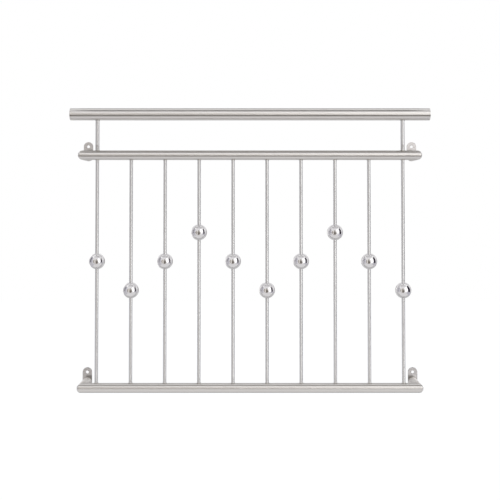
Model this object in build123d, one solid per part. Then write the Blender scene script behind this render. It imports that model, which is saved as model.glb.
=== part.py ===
from build123d import *
import math
import os

# Juliet balcony railing in stainless steel tube, seen from outside: X runs to the right along the wall,
# Y runs from the room's outside into the wall and Z is up. The origin lies on the wall face of the lower
# left wall plate, where the axis of its arm meets the wall.

# Driving dimensions, in millimetres

# Front frame
bar_count = 10
bar_pitch = 120.0
end_bar_inset = 50.0  # from a return arm's axis to the nearest bar
rail_spacing = 818.0  # between the axes of the two cross rails
handrail_rise = 145.0  # handrail axis above the upper cross rail's axis
handrail_overhang = 48.0  # handrail past each return arm's axis
wall_offset = 100.0  # cross rail axis to the wall

# Tubes
rail_diameter = 33.7
rail_wall = 1.5
corner_radius = 7.0  # outside of the corner between a cross rail and its arm
handrail_diameter = 42.4
handrail_wall = 1.5
bar_diameter = 12.0
bar_wall = 1.0
post_diameter = 14.0
post_wall = 1.5
tube_entry = 5.0  # how far a bar or post runs into the tube that holds it, from the tube's crown

# Handrail end caps
cap_rim = 4.0
cap_crown = 2.0  # rise of the arched face above the rim
cap_rounding = 1.0  # between the arched face and the rim
cap_spigot = 15.0
cap_wall = 2.0
seam_bevel = 0.4  # on the tube's end and on the cap's rim where they meet

# Ornamental balls
ball_diameter = 56.0
ball_wall = 1.5
ball_lowest = 341.5  # centre of the lowest balls above the lower cross rail's axis
ball_step = 102.0
ball_levels = (1, 0, 1, 2)  # level of each bar's ball from the left, repeated along the row

# Wall plates
plate_thickness = 5.0
plate_hole_diameter = 11.0
plate_hole_rise = 36.0  # bolt hole above the arm's axis
plate_bevel = 0.5  # on the front edges, round the outline and the bolt hole

# Clearances
drill_clearance = 0.1  # round a bar, post or spigot, on the radius

# Derived places
rail_radius = rail_diameter / 2
rail_y = -wall_offset
arm_spacing = bar_pitch * (bar_count - 1) + 2 * end_bar_inset
middle_x = arm_spacing / 2
handrail_z = rail_spacing + handrail_rise
handrail_half = middle_x + handrail_overhang
corner_inset = rail_radius - corner_radius
bar_positions = [end_bar_inset + bar_pitch * i for i in range(bar_count)]
post_positions = (bar_positions[0], bar_positions[-1])

mirror_line = Plane(origin=(middle_x, 0, 0), z_dir=(1, 0, 0))


def rod(start, end, diameter):
    """Solid round bar from one point to another."""
    run = Vector(*end) - Vector(*start)
    return extrude(Plane(origin=start, z_dir=run) * Circle(diameter / 2), run.length)


def tube(start, end, diameter, wall):
    """Round tube from one point to another, open at both ends."""
    return rod(start, end, diameter) - rod(start, end, diameter - 2 * wall)


def corner_nose(diameter):
    """Rounded outside of a corner at the origin, up to the mitre, for a run along X."""
    radius = diameter / 2
    half_height = math.sqrt(radius**2 - corner_inset**2)
    top = (-corner_inset, -corner_inset, half_height)
    front = (-corner_inset, -radius, 0)
    bottom = (-corner_inset, -corner_inset, -half_height)
    section = make_face([ThreePointArc(top, front, bottom).edge(), Line(bottom, top).edge()])
    return revolve(section, Axis((-corner_inset, -corner_inset, 0), (0, 0, -1)), 45)


def corner_waste():
    """What the mitre and the rounded corner take off the end of a run along X."""
    reach = rail_diameter
    outline = Polyline(
        (-corner_inset, -reach),
        (-corner_inset, -corner_inset),
        (reach, reach),
        (-reach, reach),
        (-reach, -reach),
        close=True,
    )
    return extrude(make_face(outline), reach, both=True)


def run_with_corner(length, diameter):
    """Solid run along X whose start at the origin is mitred at 45 degrees and rounded outside."""
    run = rod((-diameter / 2, 0, 0), (length, 0, 0), diameter)
    return run - corner_waste() + corner_nose(diameter)


def hollow_run(length):
    """Tube along X with a mitred and rounded corner at its start."""
    return run_with_corner(length, rail_diameter) - run_with_corner(length, rail_diameter - 2 * rail_wall)


def cross_rail(axis_z, entries):
    """Cross rail with a corner at each end and a drilled hole for each tube that enters it."""
    half = Pos(0, rail_y, axis_z) * hollow_run(middle_x)
    rail = half + mirror(half, mirror_line)
    drills = []
    for x, diameter, side in entries:
        far = axis_z + side * rail_diameter
        drills.append(rod((x, rail_y, axis_z), (x, rail_y, far), diameter + 2 * drill_clearance))
    return rail - drills


def return_arm(axis_z):
    """Left arm from the mitre at a cross rail back to its wall plate."""
    along_x = hollow_run(wall_offset - plate_thickness)
    across = Plane(origin=(0, 0, 0), z_dir=(1, -1, 0))
    return Pos(0, rail_y, axis_z) * mirror(along_x, across)


def wall_plate(axis_z):
    """Left wall plate: a tab as wide as the arm, round at both ends, with a bolt hole above the arm."""
    front = Plane(origin=(0, 0, axis_z), x_dir=(1, 0, 0), z_dir=(0, -1, 0))
    hole_place = front * Pos(0, plate_hole_rise)
    middle = front * Pos(0, plate_hole_rise / 2)
    outline = middle * SlotCenterToCenter(plate_hole_rise, rail_diameter, rotation=90)
    hole = hole_place * Circle(plate_hole_diameter / 2)
    plate = extrude(outline - hole, plate_thickness, dir=(0, -1, 0))
    front_edges = plate.faces().sort_by(Axis.Y)[0].edges()
    return chamfer(front_edges, plate_bevel)


def upright(x, low_z, high_z, diameter, wall):
    """Upright tube in the plane of the cross rails."""
    return tube((x, rail_y, low_z), (x, rail_y, high_z), diameter, wall)


def ball(x, level):
    """Hollow ball on a bar, bored through for the bar."""
    bore = rod((0, 0, -ball_diameter), (0, 0, ball_diameter), bar_diameter + 2 * drill_clearance)
    shell = Sphere(ball_diameter / 2) - Sphere(ball_diameter / 2 - ball_wall) - bore
    return Pos(x, rail_y, ball_lowest + ball_step * level) * shell


def handrail():
    """Handrail tube between its end caps, drilled underneath for the posts."""
    reach = handrail_half - cap_rim - cap_crown
    start = (middle_x - reach, rail_y, handrail_z)
    end = (middle_x + reach, rail_y, handrail_z)
    drills = []
    for x in post_positions:
        below = handrail_z - handrail_diameter
        drills.append(rod((x, rail_y, handrail_z), (x, rail_y, below), post_diameter + 2 * drill_clearance))
    rail = tube(start, end, handrail_diameter, handrail_wall)
    rims = [rail.faces().sort_by(Axis.X)[i].outer_wire().edges()[0] for i in (0, -1)]
    return chamfer(rims, seam_bevel) - drills


def handrail_cap():
    """Left end cap: an arched face flush with the tube and a hollow spigot inside it."""
    rim_radius = handrail_diameter / 2
    spigot_radius = rim_radius - handrail_wall - drill_clearance
    core_radius = spigot_radius - cap_wall
    floor_x = cap_crown + cap_rim
    face = ThreePointArc((0, 0), (cap_crown / 4, rim_radius / 2), (cap_crown, rim_radius))
    steps = Polyline(
        (cap_crown, rim_radius),
        (floor_x - seam_bevel, rim_radius),
        (floor_x, rim_radius - seam_bevel),
        (floor_x, spigot_radius),
        (floor_x + cap_spigot, spigot_radius),
        (floor_x + cap_spigot, core_radius),
        (floor_x, core_radius),
        (floor_x, 0),
        (0, 0),
    )
    section = make_face(face + steps)
    shoulder = section.vertices().sort_by_distance((cap_crown, rim_radius))[0]
    solid = revolve(fillet(shoulder, cap_rounding), Axis.X)
    return Pos(middle_x - handrail_half, rail_y, handrail_z) * solid


def build():
    """Every piece by the name of its node."""
    bars = [(x, bar_diameter) for x in bar_positions]
    posts = [(x, post_diameter) for x in post_positions]
    upper_entries = [(x, d, -1) for x, d in bars] + [(x, d, 1) for x, d in posts]
    pieces = {
        "handrail_tube": handrail(),
        "handrail_cap_left": handrail_cap(),
        "handrail_cap_right": mirror(handrail_cap(), mirror_line),
        "upper_rail": cross_rail(rail_spacing, upper_entries),
        "lower_rail": cross_rail(0, [(x, d, 1) for x, d in bars]),
    }
    for level, axis_z in (("upper", rail_spacing), ("lower", 0)):
        arm = return_arm(axis_z)
        plate = wall_plate(axis_z)
        pieces[f"{level}_left_arm"] = arm
        pieces[f"{level}_right_arm"] = mirror(arm, mirror_line)
        pieces[f"{level}_left_wall_plate"] = plate
        pieces[f"{level}_right_wall_plate"] = mirror(plate, mirror_line)
    entry = rail_radius - tube_entry
    post_top = handrail_z - handrail_diameter / 2 + tube_entry
    for side, x in zip(("left", "right"), post_positions):
        post = upright(x, rail_spacing + entry, post_top, post_diameter, post_wall)
        pieces[f"handrail_post_{side}"] = post
    for i, x in enumerate(bar_positions):
        number = f"{i + 1:02d}"
        pieces[f"bar_{number}"] = upright(x, entry, rail_spacing - entry, bar_diameter, bar_wall)
        pieces[f"ball_{number}"] = ball(x, ball_levels[i % len(ball_levels)])
    return pieces


os.makedirs("parts", exist_ok=True)
for name, piece in build().items():
    export_step(piece, f"parts/{name}.step")
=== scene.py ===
import math

import bpy
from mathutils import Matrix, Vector


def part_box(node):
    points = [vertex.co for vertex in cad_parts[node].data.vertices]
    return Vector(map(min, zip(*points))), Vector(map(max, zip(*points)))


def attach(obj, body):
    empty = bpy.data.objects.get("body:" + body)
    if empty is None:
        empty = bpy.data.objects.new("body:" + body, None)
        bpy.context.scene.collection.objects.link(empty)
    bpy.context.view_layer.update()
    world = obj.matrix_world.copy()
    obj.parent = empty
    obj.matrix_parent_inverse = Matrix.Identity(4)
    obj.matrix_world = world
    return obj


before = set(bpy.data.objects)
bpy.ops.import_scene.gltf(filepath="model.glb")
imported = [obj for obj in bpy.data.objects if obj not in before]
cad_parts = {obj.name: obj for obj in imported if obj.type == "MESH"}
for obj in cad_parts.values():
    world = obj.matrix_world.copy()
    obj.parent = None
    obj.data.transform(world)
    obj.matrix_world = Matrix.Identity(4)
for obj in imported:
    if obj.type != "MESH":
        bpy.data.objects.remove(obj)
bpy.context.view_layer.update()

bl_info = {
    "name": "Juliet balcony railing finishes",
    "version": (1, 0, 0),
    "blender": (4, 5, 0),
    "location": "View3D > Sidebar > Railing",
    "description": "Satin and polished steel, weld beads and a soft studio for a juliet balcony railing",
    "category": "Object",
}

# The frame's own sizes, in metres
rail_low, rail_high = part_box("lower_rail")
rail_radius = (rail_high.z - rail_low.z) / 2
rail_axis_y = (rail_low.y + rail_high.y) / 2
lower_axis_z = (rail_low.z + rail_high.z) / 2
upper_low, upper_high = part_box("upper_rail")
upper_axis_z = (upper_low.z + upper_high.z) / 2
handrail_low, handrail_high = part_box("handrail_tube")
handrail_radius = (handrail_high.z - handrail_low.z) / 2
handrail_axis_z = (handrail_low.z + handrail_high.z) / 2
middle_x = (handrail_low.x + handrail_high.x) / 2

BARS = sorted(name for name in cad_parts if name.startswith("bar_"))
BALLS = sorted(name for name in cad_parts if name.startswith("ball_"))
POSTS = sorted(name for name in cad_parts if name.startswith("handrail_post_"))
PLATES = sorted(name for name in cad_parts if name.endswith("_wall_plate"))
ARMS = sorted(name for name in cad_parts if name.endswith("_arm"))
arm_low, arm_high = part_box(ARMS[0])
arm_half_spacing = abs(middle_x - (arm_low.x + arm_high.x) / 2)
CROSS_TUBES = ["handrail_tube", "handrail_cap_left", "handrail_cap_right", "upper_rail", "lower_rail"]


class RailingFinish(bpy.types.PropertyGroup):
    """Colours and surface sizes of the steel."""

    satin_colour: bpy.props.FloatVectorProperty(
        name="Satin steel", description="Colour of the ground tubes", subtype="COLOR", size=3,
        min=0, max=1, default=(0.88, 0.86, 0.84))
    bar_colour: bpy.props.FloatVectorProperty(
        name="Bar steel", description="Colour of the slim bars and posts", subtype="COLOR", size=3,
        min=0, max=1, default=(0.85, 0.85, 0.85))
    plate_colour: bpy.props.FloatVectorProperty(
        name="Plate steel", description="Colour of the wall plates", subtype="COLOR", size=3,
        min=0, max=1, default=(0.78, 0.762, 0.756))
    polished_colour: bpy.props.FloatVectorProperty(
        name="Polished steel", description="Colour of the balls", subtype="COLOR", size=3,
        min=0, max=1, default=(0.87, 0.86, 0.87))
    satin_roughness: bpy.props.FloatProperty(
        name="Satin roughness", description="Roughness of the ground tubes",
        min=0, max=1, default=0.34)
    grain_pitch: bpy.props.FloatProperty(
        name="Grain pitch", description="Width of a grinding line", unit="LENGTH", default=0.0004)
    grain_depth: bpy.props.FloatProperty(
        name="Grain depth", description="Depth of a grinding line", unit="LENGTH", default=0.000002)


class RailingWelds(bpy.types.PropertyGroup):
    """Sizes of the weld beads."""

    bead_radius: bpy.props.FloatProperty(
        name="Bead radius", description="Half the width of a weld bead", unit="LENGTH", default=0.0014)
    ripple_pitch: bpy.props.FloatProperty(
        name="Ripple pitch", description="Distance between ripples along a bead",
        unit="LENGTH", default=0.0013)
    ripple_height: bpy.props.FloatProperty(
        name="Ripple height", description="Height of a ripple", unit="LENGTH", default=0.00009)
    unevenness: bpy.props.FloatProperty(
        name="Unevenness", description="Share by which a bead's width wanders",
        min=0, max=1, default=0.22)
    seed: bpy.props.IntProperty(name="Seed", description="Seed of the uneven beads", default=3)


class RailingStudio(bpy.types.PropertyGroup):
    """Floor, lamps, cards and camera."""

    floor_drop: bpy.props.FloatProperty(
        name="Floor drop", description="Floor below the lower cross rail", unit="LENGTH", default=1.4)
    camera_distance: bpy.props.FloatProperty(
        name="Camera distance", description="Camera in front of the cross rails",
        unit="LENGTH", default=3.0)
    camera_height: bpy.props.FloatProperty(
        name="Camera height", description="Camera above the lower cross rail",
        unit="LENGTH", default=0.6625)
    camera_aside: bpy.props.FloatProperty(
        name="Camera aside", description="Camera to the right of the middle", unit="LENGTH", default=0.0)
    camera_pitch: bpy.props.FloatProperty(
        name="Camera pitch", description="Upward tilt of the camera", subtype="ANGLE", default=0.0279)
    camera_yaw: bpy.props.FloatProperty(
        name="Camera yaw", description="Turn of the camera to the left", subtype="ANGLE", default=0.0)
    focal_pixels: bpy.props.FloatProperty(
        name="Focal length", description="Focal length in pixels of the photograph", default=848.6)
    horizon_shift: bpy.props.FloatProperty(
        name="Vertical shift", description="Shift of the frame in frame widths", default=-0.149)


# Ground and polished steel
GRAIN_STRETCH = 14.0  # noise scale along a grinding line
LINE_ROUGHNESS = (-0.03, 0.04)  # change of roughness from line to line
BROAD_SCALE = 9.0  # noise scale of the slow change over the steel
BROAD_ROUGHNESS = (-0.025, 0.03)
BUMP_STRENGTH = 0.1
GRAZING_TINT = (0.65, 0.65, 0.65, 1)
BAR_ROUGHNESS_CHANGE = -0.06  # against the tubes
PLATE_ROUGHNESS_CHANGE = 0.1
PLATE_DIRECTIONAL = 0.8  # share of the grain's direction that shows on a plate
POLISH_SCALE = 60.0
POLISH_ROUGHNESS = (0.03, 0.07)

# Painted shade on the wall plates round the arms, standing in for the arm's shadow and dark reflection
# on the plate
ARM_SHADE_PLACE = (0.009, 0.004)  # inward and up from the arm's axis
ARM_SHADE_REACH = (0.0195, 0.0285)  # where the painted shade starts to fade and where it has gone
ARM_SHADE_FACTOR = (0.47, 0.455, 0.44, 1)
ARM_SHADE_NOISE_SCALE = 110.0
ARM_SHADE_RAGGEDNESS = 0.006

# Weld beads
WELD_COLOURS = ((0.5, 0.49, 0.47, 1), (0.62, 0.58, 0.53, 1))  # bare steel and straw
WELD_ROUGHNESS = (0.24, 0.38)
WELD_TINT_SCALE = 500.0
BEAD_SIDES = 10
POINTS_PER_RIPPLE = 4
WANDER_SCALE = 260.0  # noise scale of a bead's uneven width
RIPPLE_LAG = 0.16  # how far a ripple bends across the bead, in ripples
ARM_BEAD_START = math.radians(30)  # from level; below it the arm and its plate are ground flush
BEAD_INPUTS = (
    ("Path radius", "NodeSocketFloat"),
    ("Host curvature", "NodeSocketFloat"),
    ("Start angle", "NodeSocketFloat"),
    ("Sweep angle", "NodeSocketFloat"),
    ("Closed", "NodeSocketBool"),
    ("Path points", "NodeSocketInt"),
    ("End taper", "NodeSocketFloat"),
    ("Bead radius", "NodeSocketFloat"),
    ("Unevenness", "NodeSocketFloat"),
    ("Ripple pitch", "NodeSocketFloat"),
    ("Ripple height", "NodeSocketFloat"),
    ("Seed", "NodeSocketFloat"),
    ("Material", "NodeSocketMaterial"),
)

# Studio
FRAME_PIXELS = 500  # side of the photograph
SENSOR_WIDTH = 36.0  # in millimetres
WHITE = (1, 1, 1, 1)
SOFT_LIGHT = (0.97, 0.98, 1.0, 1)
SOFT_LIGHT_STRENGTH = 0.8
FLOOR_COLOUR = (0.82, 0.82, 0.82, 1)
FLOOR_GLOW = 0.38  # what the floor adds for the rays that show the background
FLOOR_REACH = 14.0
STAND_Y = -3.2  # plane of the cards behind the camera

# Narrow cards just above the rails draw the dark line along each of them
LINE_REACH = (-0.61, 0.61)
handrail_line_z = handrail_axis_z + 0.06
upper_line_z = upper_axis_z + 0.035
lower_line_z = lower_axis_z + 0.035

# Name, x range and y range from the middle of the rails, height, colour, whether it faces down
LEVEL_CARDS = (
    ("dark_table_card", (-3.5, 3.5), (-1.7, -0.58), 0.45, (0.203, 0.191, 0.178), False),
    ("overhead_card", (-3.6, 3.6), (-3.2, -0.3), 6.0, (0.661, 0.652, 0.661), True),
    ("high_front_card", (-9.0, 2.6), (-9.0, -3.2), 6.0, (0.82, 0.81, 0.81), True),
    ("handrail_line_card", LINE_REACH, (-0.046, -0.023), handrail_line_z, (0.02, 0.012, 0.008), True),
    ("upper_line_card", LINE_REACH, (-0.0238, -0.0075), upper_line_z, (0.186, 0.169, 0.152), True),
    ("lower_line_card", LINE_REACH, (-0.0266, -0.0116), lower_line_z, (0.33, 0.315, 0.3), True),
    ("handrail_rear_line_card", LINE_REACH, (0.024, 0.05), handrail_line_z, (0.26, 0.25, 0.24), True),
    ("upper_rear_line_card", LINE_REACH, (0.0078, 0.026), upper_line_z, (0.32, 0.31, 0.3), True),
    ("lower_rear_line_card", LINE_REACH, (0.0116, 0.0266), lower_line_z, (0.46, 0.45, 0.44), True),
    ("front_card", (-4.0, 4.0), (-3.15, -1.3), -1.25, (0.779, 0.762, 0.762), False),
    ("stand_foot_card", (-2.0, 0.4), (-3.15, -1.5), -1.2, (0.39, 0.356, 0.322), False),
    ("fill_card", (-4.0, 4.0), (-1.19, 0.05), -0.4, (0.745, 0.737, 0.737), False),
    ("under_card", (-4.0, 4.0), (0.05, 0.8), -0.4, (0.525, 0.525, 0.525), False),
    ("low_back_card", (-4.0, 4.0), (0.8, 2.5), -0.4, (0.678, 0.678, 0.678), False),
    ("left_side_card", (-4.0, -1.2), (-1.19, 1.5), -0.38, (0.559, 0.551, 0.584), False),
    ("right_side_card", (1.3, 4.0), (-1.19, 1.5), -0.38, (0.508, 0.5, 0.542), False),
)

# Name, start and end in plan from the middle of the rails, height range, colour
UPRIGHT_CARDS = (
    ("low_wall_card", (6.0, 2.5), (-6.0, 2.5), (-3.0, 0.9), (0.56, 0.55, 0.57)),
    ("back_card", (6.0, 2.5), (-6.0, 2.5), (0.9, 3.4), (0.8, 0.79, 0.8)),
    ("high_back_card", (6.0, 2.5), (-6.0, 2.5), (3.4, 7.5), (0.542, 0.534, 0.542)),
    ("back_strip_card_1", (-0.3, 2.4), (-0.9, 2.4), (-1.0, 1.0), (0.2, 0.19, 0.18)),
    ("back_strip_card_2", (1.5, 2.4), (0.5, 2.4), (-1.0, 1.0), (0.3, 0.28, 0.27)),
    ("back_glow_card", (-1.2, 2.4), (-2.0, 2.4), (-1.0, 1.0), (1.6, 1.57, 1.53)),
    ("left_panel_card", (-4.6, 2.4), (-4.6, -3.0), (-1.3, 4.4), (0.525, 0.517, 0.559)),
    ("left_card", (-3.6, 0.7), (-3.6, -0.5), (0.0, 3.0), (0.169, 0.169, 0.186)),
    ("right_card", (3.0, -1.15), (3.0, 0.7), (-0.6, 3.0), (0.0169, 0.0127, 0.0254)),
    ("stand_card_1", (-4.6, STAND_Y), (-3.5, STAND_Y), (-0.8, 1.6), (0.66, 0.64, 0.65)),
    ("stand_card_2", (-3.5, STAND_Y), (-2.1, STAND_Y), (-1.2, 2.4), (0.36, 0.33, 0.3)),
    ("stand_card_3", (-2.1, STAND_Y), (-1.1, STAND_Y), (-0.8, 1.9), (0.84, 0.8, 0.75)),
    ("stand_card_4", (-1.1, STAND_Y), (0.9, STAND_Y), (-1.2, 0.75), (0.2, 0.18, 0.16)),
    ("stand_card_5", (-1.1, STAND_Y), (0.6, STAND_Y), (0.75, 2.6), (0.38, 0.36, 0.33)),
    ("stand_card_6", (0.6, STAND_Y), (1.9, STAND_Y), (0.75, 2.1), (0.6, 0.58, 0.57)),
    ("stand_card_7", (0.9, STAND_Y), (1.9, STAND_Y), (-0.9, 0.75), (0.66, 0.64, 0.63)),
    ("bright_card", (4.6, -9.0), (12.0, -9.0), (-1.7, 9.6), (2.0, 1.98, 1.95)),
    ("right_panel_card", (4.6, -3.2), (3.05, -1.15), (-0.9, 2.6), (0.542, 0.534, 0.567)),
)

# Name, place from the middle of the rails with its height, width, height, power and colour
LAMPS = (
    ("wide_softbox", (1.0, -3.0, 1.1), 2.8, 3.2, 5.4, (1.0, 0.985, 0.97)),
    ("side_softbox", (1.7, -2.9, 1.1), 1.3, 2.2, 2.2, (1.0, 0.98, 0.96)),
    ("right_softbox", (2.7, -2.1, 1.3), 1.2, 2.4, 2.7, (1.0, 0.98, 0.96)),
)


def finish_settings():
    return bpy.context.scene.railing_finish


def weld_settings():
    return bpy.context.scene.railing_welds


def studio_settings():
    return bpy.context.scene.railing_studio


def new_material(name):
    """Empty node material with its output."""
    material = bpy.data.materials.new(name)
    material.use_nodes = True
    material.node_tree.nodes.clear()
    output = material.node_tree.nodes.new("ShaderNodeOutputMaterial")
    return material, material.node_tree, output


def add_node(tree, kind, inputs=None, **settings):
    """Adds a node, sets its properties and its inputs; an input is a number or a socket to link from."""
    node = tree.nodes.new(kind)
    for name, value in settings.items():
        setattr(node, name, value)
    for name, value in (inputs or {}).items():
        if isinstance(value, bpy.types.NodeSocket):
            tree.links.new(value, node.inputs[name])
        else:
            node.inputs[name].default_value = value
    return node


def calculate(tree, operation, *values):
    """Socket with the result of one sum; a value is a number or a socket."""
    node = tree.nodes.new("ShaderNodeMath")
    node.operation = operation
    for place, value in enumerate(values):
        if isinstance(value, bpy.types.NodeSocket):
            tree.links.new(value, node.inputs[place])
        else:
            node.inputs[place].default_value = value
    return node.outputs["Value"]


def spread(tree, value, limits):
    """Socket that turns a value from 0 to 1 into one between two limits."""
    low, high = limits
    node = add_node(tree, "ShaderNodeMapRange", {"Value": value, "To Min": low, "To Max": high})
    return node.outputs["Result"]


def mixed_colour(tree, share, first, second):
    """Socket with a colour between two others, by the share of the second."""
    node = add_node(tree, "ShaderNodeMix", {"Factor": share, "A": first, "B": second}, data_type="RGBA")
    return node.outputs["Result"]


def along_axis(axis, value, others):
    """Three numbers: one for the named axis, and the same one for the two others."""
    return [value if name == axis else others for name in "XYZ"]


def grain_material(name, colour, roughness, grain_axis, directional=1.0):
    """Ground steel whose fine lines run round or across the given axis."""
    settings = finish_settings()
    material, tree, output = new_material(name)
    scale = along_axis(grain_axis, 1.0 / settings.grain_pitch, GRAIN_STRETCH)
    place = add_node(tree, "ShaderNodeTexCoord").outputs["Object"]
    stretched = add_node(tree, "ShaderNodeMapping", {"Vector": place, "Scale": scale})
    lines = add_node(tree, "ShaderNodeTexNoise", {
        "Vector": stretched.outputs["Vector"], "Scale": 1.0, "Detail": 3.0, "Roughness": 0.6})
    broad = add_node(tree, "ShaderNodeTexNoise", {
        "Vector": place, "Scale": BROAD_SCALE, "Detail": 3.0, "Roughness": 0.55})
    line_limits = [roughness + change for change in LINE_ROUGHNESS]
    rough = calculate(
        tree, "ADD", spread(tree, lines.outputs["Fac"], line_limits),
        spread(tree, broad.outputs["Fac"], BROAD_ROUGHNESS))
    bump = add_node(tree, "ShaderNodeBump", {
        "Height": lines.outputs["Fac"], "Strength": BUMP_STRENGTH, "Distance": settings.grain_depth})
    across_lines = add_node(
        tree, "ShaderNodeCombineXYZ", dict(zip("XYZ", along_axis(grain_axis, 1.0, 0.0))))
    steel = add_node(tree, "ShaderNodeBsdfPrincipled", {
        "Base Color": (*colour, 1), "Metallic": 1.0, "Roughness": rough,
        "Anisotropic": directional, "Specular Tint": GRAZING_TINT,
        "Normal": bump.outputs["Normal"], "Tangent": across_lines.outputs["Vector"]})
    tree.links.new(steel.outputs["BSDF"], output.inputs["Surface"])
    return material


def paint_arm_shade(material):
    """Darkens a wall plate's colour with painted shade round the arm, standing in for the arm's shadow
    and dark reflection, widest on the arm's upper inner side.
    """
    tree = material.node_tree
    place = add_node(tree, "ShaderNodeTexCoord").outputs["Object"]
    apart = add_node(tree, "ShaderNodeSeparateXYZ", {"Vector": place})
    inward = calculate(tree, "SUBTRACT", arm_half_spacing, calculate(
        tree, "ABSOLUTE", calculate(tree, "SUBTRACT", apart.outputs["X"], middle_x)))
    above = calculate(tree, "GREATER_THAN", apart.outputs["Z"], (lower_axis_z + upper_axis_z) / 2)
    level = calculate(tree, "MULTIPLY_ADD", above, upper_axis_z - lower_axis_z, lower_axis_z)
    rise = calculate(tree, "SUBTRACT", apart.outputs["Z"], level)
    aside = calculate(tree, "SUBTRACT", inward, ARM_SHADE_PLACE[0])
    up = calculate(tree, "SUBTRACT", rise, ARM_SHADE_PLACE[1])
    squares = [calculate(tree, "MULTIPLY", length, length) for length in (aside, up)]
    reach = calculate(tree, "SQRT", calculate(tree, "ADD", *squares))
    ragged = add_node(tree, "ShaderNodeTexNoise", {
        "Vector": place, "Scale": ARM_SHADE_NOISE_SCALE, "Detail": 3.0})
    edge = calculate(tree, "MULTIPLY_ADD", ragged.outputs["Fac"], ARM_SHADE_RAGGEDNESS, reach)
    share = add_node(tree, "ShaderNodeMapRange", {
        "Value": edge, "From Min": ARM_SHADE_REACH[0], "From Max": ARM_SHADE_REACH[1],
        "To Min": 1.0, "To Max": 0.0}, interpolation_type="SMOOTHSTEP")
    steel = next(node for node in tree.nodes if node.type == "BSDF_PRINCIPLED")
    unshaded_colour = steel.inputs["Base Color"].default_value
    arm_shaded_colour = [value * shade for value, shade in zip(unshaded_colour, ARM_SHADE_FACTOR)]
    shaded_base_colour = mixed_colour(tree, share.outputs["Result"], unshaded_colour, arm_shaded_colour)
    tree.links.new(shaded_base_colour, steel.inputs["Base Color"])


def polished_material():
    """Mirror polished steel with faint buffing haze."""
    settings = finish_settings()
    material, tree, output = new_material("polished_steel")
    place = add_node(tree, "ShaderNodeTexCoord").outputs["Object"]
    haze = add_node(tree, "ShaderNodeTexNoise", {
        "Vector": place, "Scale": POLISH_SCALE, "Detail": 4.0})
    steel = add_node(tree, "ShaderNodeBsdfPrincipled", {
        "Base Color": (*settings.polished_colour, 1), "Metallic": 1.0,
        "Roughness": spread(tree, haze.outputs["Fac"], POLISH_ROUGHNESS)})
    tree.links.new(steel.outputs["BSDF"], output.inputs["Surface"])
    return material


def weld_material():
    """Weld bead: bright ripples with a faint straw tint."""
    material, tree, output = new_material("weld_bead")
    place = add_node(tree, "ShaderNodeTexCoord").outputs["Object"]
    tint = add_node(tree, "ShaderNodeTexNoise", {
        "Vector": place, "Scale": WELD_TINT_SCALE, "Detail": 3.0})
    steel = add_node(tree, "ShaderNodeBsdfPrincipled", {
        "Base Color": mixed_colour(tree, tint.outputs["Fac"], *WELD_COLOURS), "Metallic": 1.0,
        "Roughness": spread(tree, tint.outputs["Fac"], WELD_ROUGHNESS)})
    tree.links.new(steel.outputs["BSDF"], output.inputs["Surface"])
    return material


def assign(names, material):
    """Gives CAD nodes a material in place of their packed one."""
    for name in names:
        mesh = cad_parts[name].data
        mesh.materials.clear()
        mesh.materials.append(material)


def saddle_drop(tree, given):
    """Offset by which a round host falls away below the bead's path, at each of its points."""
    place = add_node(tree, "GeometryNodeInputPosition")
    apart = add_node(tree, "ShaderNodeSeparateXYZ", {"Vector": place.outputs["Position"]})
    curvature = given["Host curvature"]
    aside = calculate(tree, "MULTIPLY", apart.outputs["Y"], curvature)
    square = calculate(tree, "MULTIPLY", aside, aside)
    root = calculate(tree, "SQRT", calculate(tree, "SUBTRACT", 1.0, square))
    leaned = calculate(tree, "MULTIPLY", calculate(tree, "MULTIPLY", apart.outputs["Y"], aside), -1.0)
    drop = calculate(tree, "DIVIDE", leaned, calculate(tree, "ADD", 1.0, root))
    return add_node(tree, "ShaderNodeCombineXYZ", {"Z": drop}).outputs["Vector"]


def bead_width(tree, given):
    """Share of the full bead radius: it wanders along the bead and tapers to the ends of an open one."""
    place = add_node(tree, "GeometryNodeInputPosition")
    wander = add_node(tree, "ShaderNodeTexNoise", {
        "Vector": place.outputs["Position"], "W": given["Seed"],
        "Scale": WANDER_SCALE, "Detail": 1.0}, noise_dimensions="4D")
    centred = calculate(tree, "SUBTRACT", wander.outputs["Fac"], 0.5)
    uneven = calculate(tree, "MULTIPLY_ADD", centred, given["Unevenness"], 1.0)
    along = add_node(tree, "GeometryNodeSplineParameter").outputs["Length"]
    whole = add_node(tree, "GeometryNodeSplineLength").outputs["Length"]
    to_end = calculate(tree, "MINIMUM", along, calculate(tree, "SUBTRACT", whole, along))
    lifted = calculate(tree, "ADD", to_end, calculate(tree, "MULTIPLY", given["Closed"], whole))
    share = calculate(tree, "MINIMUM", calculate(tree, "DIVIDE", lifted, given["End taper"]), 1.0)
    return calculate(tree, "MULTIPLY", uneven, calculate(tree, "SQRT", share))


def ripple_offset(tree, given, along, round_bead):
    """Offset along the normal that makes crescent ripples across the bead."""
    turn = calculate(tree, "MULTIPLY", round_bead, math.tau)
    lag = calculate(tree, "MULTIPLY", calculate(tree, "SINE", turn), RIPPLE_LAG)
    phase = calculate(tree, "ADD", calculate(tree, "DIVIDE", along, given["Ripple pitch"]), lag)
    wave = calculate(tree, "COSINE", calculate(tree, "MULTIPLY", phase, math.tau))
    height = calculate(tree, "MULTIPLY", wave, given["Ripple height"])
    normal = add_node(tree, "GeometryNodeInputNormal").outputs["Normal"]
    offset = add_node(tree, "ShaderNodeVectorMath", operation="SCALE")
    tree.links.new(normal, offset.inputs["Vector"])
    tree.links.new(height, offset.inputs["Scale"])
    return offset.outputs["Vector"]


def captured(tree, geometry, value):
    """Keeps a number on each curve point; gives the geometry and the kept number."""
    node = tree.nodes.new("GeometryNodeCaptureAttribute")
    node.capture_items.new("FLOAT", "Kept")
    tree.links.new(geometry, node.inputs["Geometry"])
    tree.links.new(value, node.inputs["Kept"])
    return node.outputs["Geometry"], node.outputs["Kept"]


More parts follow.
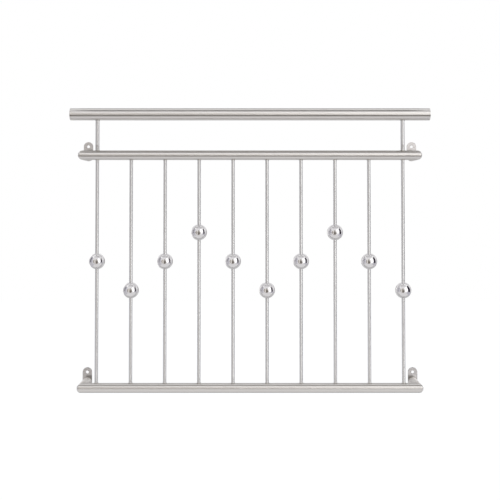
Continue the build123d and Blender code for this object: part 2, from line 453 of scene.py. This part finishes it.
def bead_tree():
    """Node tree that lays a rippled weld bead round the joint at each of the given points."""
    tree = bpy.data.node_groups.new("weld_bead", "GeometryNodeTree")
    tree.interface.new_socket("Geometry", in_out="INPUT", socket_type="NodeSocketGeometry")
    tree.interface.new_socket("Geometry", in_out="OUTPUT", socket_type="NodeSocketGeometry")
    for name, kind in BEAD_INPUTS:
        tree.interface.new_socket(name, in_out="INPUT", socket_type=kind)
    given = tree.nodes.new("NodeGroupInput").outputs

    path = add_node(tree, "GeometryNodeCurveArc", {
        "Resolution": given["Path points"], "Radius": given["Path radius"],
        "Start Angle": given["Start angle"], "Sweep Angle": given["Sweep angle"]})
    ring = add_node(tree, "GeometryNodeSetSplineCyclic", {
        "Geometry": path.outputs["Curve"], "Cyclic": given["Closed"]})
    fitted = add_node(tree, "GeometryNodeSetPosition", {
        "Geometry": ring.outputs["Geometry"], "Offset": saddle_drop(tree, given)})
    turn = add_node(tree, "GeometryNodeInputNamedAttribute", {"Name": "turn"}, data_type="FLOAT_VECTOR")
    laid = add_node(tree, "GeometryNodeInstanceOnPoints", {
        "Points": given["Geometry"], "Instance": fitted.outputs["Geometry"],
        "Rotation": turn.outputs["Attribute"]})
    real = add_node(tree, "GeometryNodeRealizeInstances", {"Geometry": laid.outputs["Instances"]})
    wide = add_node(tree, "GeometryNodeSetCurveRadius", {
        "Curve": real.outputs["Geometry"], "Radius": bead_width(tree, given)})
    parameter = add_node(tree, "GeometryNodeSplineParameter")
    path_kept, along = captured(tree, wide.outputs["Curve"], parameter.outputs["Length"])
    section = add_node(tree, "GeometryNodeCurvePrimitiveCircle", {
        "Resolution": BEAD_SIDES, "Radius": given["Bead radius"]})
    section_kept, round_bead = captured(tree, section.outputs["Curve"], parameter.outputs["Factor"])
    bead = add_node(tree, "GeometryNodeCurveToMesh", {
        "Curve": path_kept, "Profile Curve": section_kept, "Fill Caps": True})
    rippled = add_node(tree, "GeometryNodeSetPosition", {
        "Geometry": bead.outputs["Mesh"], "Offset": ripple_offset(tree, given, along, round_bead)})
    smooth = add_node(tree, "GeometryNodeSetShadeSmooth", {"Geometry": rippled.outputs["Geometry"]})
    whole = add_node(tree, "GeometryNodeRealizeInstances", {"Geometry": smooth.outputs["Geometry"]})
    dressed = add_node(tree, "GeometryNodeSetMaterial", {
        "Geometry": whole.outputs["Geometry"], "Material": given["Material"]})
    result = tree.nodes.new("NodeGroupOutput")
    tree.links.new(dressed.outputs["Geometry"], result.inputs["Geometry"])
    return tree


def weld_piece(name, tree, joints, path_radius, host_curvature, material, arc):
    """Weld beads at like joints as one plain mesh.

    A joint is its place and the turn of its outward side; an arc is the start and sweep of an open bead.
    """
    settings = weld_settings()
    mesh = bpy.data.meshes.new(name)
    mesh.from_pydata([place for place, _ in joints], [], [])
    turns = mesh.attributes.new("turn", "FLOAT_VECTOR", "POINT")
    turns.data.foreach_set("vector", [value for _, turn in joints for value in turn])
    piece = bpy.data.objects.new(name, mesh)
    bpy.context.scene.collection.objects.link(piece)

    start, sweep = arc or (0.0, math.tau)
    points = round(sweep * path_radius / settings.ripple_pitch) * POINTS_PER_RIPPLE
    values = {
        "Path radius": path_radius,
        "Host curvature": host_curvature,
        "Start angle": start,
        "Sweep angle": sweep if arc else sweep * (points - 1) / points,
        "Closed": arc is None,
        "Path points": points,
        "End taper": 2 * settings.bead_radius,
        "Bead radius": settings.bead_radius,
        "Unevenness": settings.unevenness,
        "Ripple pitch": sweep * path_radius * POINTS_PER_RIPPLE / points,
        "Ripple height": settings.ripple_height,
        "Seed": float(settings.seed),
        "Material": material,
    }
    modifier = piece.modifiers.new("weld_bead", "NODES")
    modifier.node_group = tree
    for item in tree.interface.items_tree:
        if item.in_out == "INPUT" and item.name in values:
            modifier[item.identifier] = values[item.name]
    settled = piece.evaluated_get(bpy.context.evaluated_depsgraph_get())
    plain = bpy.data.meshes.new_from_object(settled)
    piece.modifiers.clear()
    piece.data = plain
    if not plain.polygons:
        raise RuntimeError(f"{name} has no faces")
    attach(piece, "root")


def node_axis(name):
    """X place of an upright's axis."""
    low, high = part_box(name)
    return (low.x + high.x) / 2


class RAILING_OT_weld_joints(bpy.types.Operator):
    """Weld beads round the ends of the bars, posts and return arms"""

    bl_idname = "railing.weld_joints"
    bl_label = "Weld joints"

    def execute(self, context):
        tree, steel = bead_tree(), weld_material()
        up, down, front = (0.0, 0.0, 0.0), (math.pi, 0.0, 0.0), (math.pi / 2, 0.0, 0.0)
        bar_low, bar_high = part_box(BARS[0])
        post_low, post_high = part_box(POSTS[0])
        bar_radius = (bar_high.x - bar_low.x) / 2
        post_radius = (post_high.x - post_low.x) / 2
        bar_joints, foot_joints, head_joints, arm_joints = [], [], [], []
        for x in map(node_axis, BARS):
            bar_joints.append(((x, rail_axis_y, lower_axis_z + rail_radius), up))
            bar_joints.append(((x, rail_axis_y, upper_axis_z - rail_radius), down))
        for x in map(node_axis, POSTS):
            foot_joints.append(((x, rail_axis_y, upper_axis_z + rail_radius), up))
            head_joints.append(((x, rail_axis_y, handrail_axis_z - handrail_radius), down))
        for name in ARMS:
            low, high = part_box(name)
            arm_joints.append(((node_axis(name), high.y, (low.z + high.z) / 2), front))
        above = (ARM_BEAD_START, math.pi - 2 * ARM_BEAD_START)
        beads = (
            ("bar_weld_beads", "infill_bar", bar_joints, bar_radius, 1 / rail_radius, None),
            ("post_foot_weld_beads", "infill_bar", foot_joints, post_radius, 1 / rail_radius, None),
            ("post_head_weld_beads", "infill_bar", head_joints, post_radius, 1 / handrail_radius, None),
            ("arm_weld_beads", "wall_plate", arm_joints, rail_radius, 0.0, above),
        )
        for name, slot, joints, path_radius, host_curvature, arc in beads:
            weld_piece(name, tree, joints, path_radius, host_curvature, steel, arc)
        return {"FINISHED"}


class RAILING_OT_finish_tubes(bpy.types.Operator):
    """Satin finish on the handrail, cross rails and return arms"""

    bl_idname = "railing.finish_tubes"
    bl_label = "Finish tubes"

    def execute(self, context):
        settings = finish_settings()
        colour, roughness = settings.satin_colour, settings.satin_roughness
        assign(CROSS_TUBES, grain_material("satin_tube", colour, roughness, "X"))
        assign(ARMS, grain_material("satin_arm", colour, roughness, "Y"))
        return {"FINISHED"}


class RAILING_OT_finish_uprights(bpy.types.Operator):
    """Satin finish on the bars and posts, polish on the balls"""

    bl_idname = "railing.finish_uprights"
    bl_label = "Finish uprights"

    def execute(self, context):
        settings = finish_settings()
        roughness = settings.satin_roughness + BAR_ROUGHNESS_CHANGE
        assign(BARS + POSTS, grain_material("satin_bar", settings.bar_colour, roughness, "Z"))
        assign(BALLS, polished_material())
        return {"FINISHED"}


class RAILING_OT_finish_plates(bpy.types.Operator):
    """Brushed finish on the wall plates, with painted shade round the arms"""

    bl_idname = "railing.finish_plates"
    bl_label = "Finish wall plates"

    def execute(self, context):
        settings = finish_settings()
        roughness = settings.satin_roughness + PLATE_ROUGHNESS_CHANGE
        plate = grain_material(
            "satin_plate", settings.plate_colour, roughness, "X", PLATE_DIRECTIONAL)
        # painted shade: darkens the plate's colour round each arm, standing in for the arm's shadow and
        # reflection
        paint_arm_shade(plate)
        assign(PLATES, plate)
        return {"FINISHED"}


def stage_material(name, colour):
    """Even glow that shows on the front of a card; from behind the card is clear."""
    material, tree, output = new_material(name)
    material.cycles.emission_sampling = "NONE"
    glow = add_node(tree, "ShaderNodeEmission", {"Color": (*colour, 1)})
    clear = add_node(tree, "ShaderNodeBsdfTransparent")
    side = add_node(tree, "ShaderNodeNewGeometry")
    shown = add_node(tree, "ShaderNodeMixShader", {"Fac": side.outputs["Backfacing"]})
    tree.links.new(glow.outputs["Emission"], shown.inputs[1])
    tree.links.new(clear.outputs["BSDF"], shown.inputs[2])
    tree.links.new(shown.outputs["Shader"], output.inputs["Surface"])
    return material


def quad(name, corners, material):
    """Flat four-cornered stage piece."""
    mesh = bpy.data.meshes.new(name)
    mesh.from_pydata(corners, [], [tuple(range(len(corners)))])
    mesh.materials.append(material)
    piece = bpy.data.objects.new(name, mesh)
    bpy.context.scene.collection.objects.link(piece)
    return piece


def card(name, corners, colour):
    """Studio card that only reflections see."""
    piece = quad(name, corners, stage_material(name, colour))
    piece.visible_camera = False
    piece.visible_diffuse = False
    piece.visible_shadow = False
    piece.visible_transmission = False


def background_ray(tree):
    """Socket that is 1 for the rays that show the background."""
    rays = add_node(tree, "ShaderNodeLightPath").outputs
    seen = calculate(tree, "MAXIMUM", rays["Is Camera Ray"], rays["Is Glossy Ray"])
    return calculate(tree, "MAXIMUM", seen, rays["Is Transmission Ray"])


def make_world():
    """White background and an even soft light."""
    world = bpy.data.worlds.new("studio")
    world.use_nodes = True
    tree = world.node_tree
    tree.nodes.clear()
    output = tree.nodes.new("ShaderNodeOutputWorld")
    shown = background_ray(tree)
    light = add_node(tree, "ShaderNodeBackground", {
        "Color": SOFT_LIGHT, "Strength": SOFT_LIGHT_STRENGTH})
    white = add_node(tree, "ShaderNodeBackground", {"Color": WHITE, "Strength": 1.0})
    mix = add_node(tree, "ShaderNodeMixShader", {"Fac": shown})
    tree.links.new(light.outputs["Background"], mix.inputs[1])
    tree.links.new(white.outputs["Background"], mix.inputs[2])
    tree.links.new(mix.outputs["Shader"], output.inputs["Surface"])
    bpy.context.scene.world = world


def make_floor():
    """Plain pale floor that keeps the railing's soft shadow."""
    settings = studio_settings()
    material, tree, output = new_material("studio_floor")
    paper = add_node(tree, "ShaderNodeBsdfDiffuse", {"Color": FLOOR_COLOUR})
    glow = calculate(tree, "MULTIPLY", background_ray(tree), FLOOR_GLOW)
    lift = add_node(tree, "ShaderNodeEmission", {"Color": WHITE, "Strength": glow})
    both = add_node(tree, "ShaderNodeAddShader")
    tree.links.new(paper.outputs["BSDF"], both.inputs[0])
    tree.links.new(lift.outputs["Emission"], both.inputs[1])
    tree.links.new(both.outputs["Shader"], output.inputs["Surface"])
    low, high, z = -FLOOR_REACH, FLOOR_REACH, lower_axis_z - settings.floor_drop
    corners = [(low, low, z), (high, low, z), (high, high, z), (low, high, z)]
    quad("studio_floor", corners, material)


def lamp(name, place, target, width, height, power, colour):
    """Soft rectangular lamp that points at a target."""
    data = bpy.data.lights.new(name, "AREA")
    data.shape = "RECTANGLE"
    data.size = width
    data.size_y = height
    data.energy = power
    data.color = colour
    piece = bpy.data.objects.new(name, data)
    bpy.context.scene.collection.objects.link(piece)
    piece.location = place
    piece.rotation_euler = (Vector(target) - Vector(place)).to_track_quat("-Z", "Y").to_euler()
    piece.visible_camera = False


def level_card(name, x_range, y_range, height, colour, faces_down):
    """Card lying level; its ranges are measured from the middle of the cross rails."""
    (left, right), (near, far) = x_range, y_range
    corners = [(left, near), (right, near), (right, far), (left, far)]
    if faces_down:
        corners.reverse()
    card(name, [(middle_x + x, rail_axis_y + y, height) for x, y in corners], colour)


def upright_card(name, start, end, z_range, colour):
    """Card standing on a line in plan and facing left of it, measured from the middle of the rails."""
    low, high = z_range
    (x0, y0), (x1, y1) = [(middle_x + x, rail_axis_y + y) for x, y in (start, end)]
    card(name, [(x1, y1, low), (x0, y0, low), (x0, y0, high), (x1, y1, high)], colour)


def make_cards():
    """Grey, dark and bright cards that give the round tubes their bands."""
    for row in LEVEL_CARDS:
        level_card(*row)
    for row in UPRIGHT_CARDS:
        upright_card(*row)


def make_lamps():
    """Soft lamps at the front."""
    target = (middle_x, rail_axis_y, (lower_axis_z + handrail_axis_z) / 2)
    for name, (x, y, z), width, height, power, colour in LAMPS:
        lamp(name, (middle_x + x, rail_axis_y + y, z), target, width, height, power, colour)


def make_camera():
    """Camera at the photograph's place and angle."""
    settings = studio_settings()
    data = bpy.data.cameras.new("photo_camera")
    data.sensor_width = SENSOR_WIDTH
    data.lens = settings.focal_pixels / FRAME_PIXELS * SENSOR_WIDTH
    data.shift_y = settings.horizon_shift
    camera = bpy.data.objects.new("photo_camera", data)
    bpy.context.scene.collection.objects.link(camera)
    camera.location = (
        middle_x + settings.camera_aside,
        rail_axis_y - settings.camera_distance,
        lower_axis_z + settings.camera_height,
    )
    camera.rotation_euler = (math.pi / 2 + settings.camera_pitch, 0, settings.camera_yaw)
    bpy.context.scene.camera = camera


class RAILING_OT_make_studio(bpy.types.Operator):
    """Floor, background, lamps, cards and camera"""

    bl_idname = "railing.make_studio"
    bl_label = "Make studio"

    def execute(self, context):
        make_world()
        make_floor()
        make_cards()
        make_lamps()
        make_camera()
        context.scene.view_settings.view_transform = "Standard"
        return {"FINISHED"}


class RAILING_PT_tools(bpy.types.Panel):
    """The railing's steps in the sidebar"""

    bl_idname = "RAILING_PT_tools"
    bl_label = "Juliet balcony railing"
    bl_space_type = "VIEW_3D"
    bl_region_type = "UI"
    bl_category = "Railing"

    def draw(self, context):
        for operator in OPERATORS:
            self.layout.operator(operator.bl_idname)


SETTINGS = {
    "railing_finish": RailingFinish,
    "railing_welds": RailingWelds,
    "railing_studio": RailingStudio,
}
OPERATORS = (
    RAILING_OT_finish_tubes,
    RAILING_OT_finish_uprights,
    RAILING_OT_finish_plates,
    RAILING_OT_weld_joints,
    RAILING_OT_make_studio,
)
CLASSES = (*SETTINGS.values(), *OPERATORS, RAILING_PT_tools)


def register():
    for each in CLASSES:
        bpy.utils.register_class(each)
    for name, group in SETTINGS.items():
        setattr(bpy.types.Scene, name, bpy.props.PointerProperty(type=group))


def unregister():
    for name in SETTINGS:
        delattr(bpy.types.Scene, name)
    for each in reversed(CLASSES):
        bpy.utils.unregister_class(each)


def main():
    register()
    bpy.ops.railing.finish_tubes()
    bpy.ops.railing.finish_uprights()
    bpy.ops.railing.finish_plates()
    bpy.ops.railing.weld_joints()
    bpy.ops.railing.make_studio()


if __name__ == "__main__":
    main()
